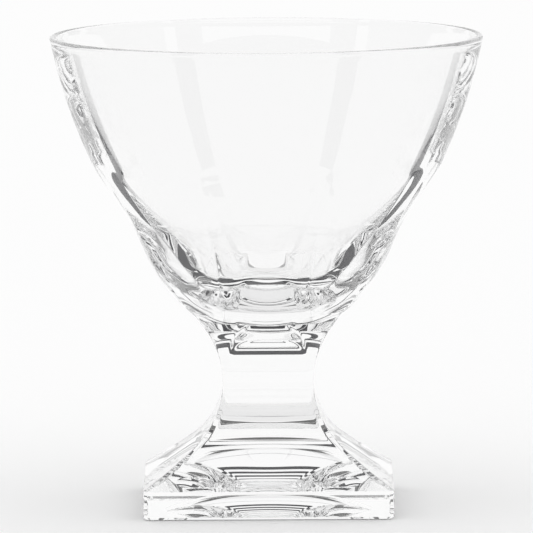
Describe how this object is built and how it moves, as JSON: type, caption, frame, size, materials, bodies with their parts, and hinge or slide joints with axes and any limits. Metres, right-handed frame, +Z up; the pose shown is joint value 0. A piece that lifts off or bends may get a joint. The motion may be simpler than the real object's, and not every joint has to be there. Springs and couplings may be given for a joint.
{
  "type": "cocktail glass",
  "caption": "Clear crystal cocktail glass: a wide bowl with flat cut flutes round its lower half, on a short square waisted stem and a square sloping foot.",
  "frame": {"origin": "on the table, under the centre of the square foot", "axes": "+Z up along the bowl's axis, +X to the right and -Y out of the front side of the foot, the side that the picture shows"},
  "size_m": [0.096, 0.096, 0.1045],
  "materials": {
    "crystal": "clear lead crystal, cut and polished"
  },
  "bodies": {
    "root": {"bowl": "crystal", "stem": "crystal", "foot": "crystal"}
  },
  "joints": []
}
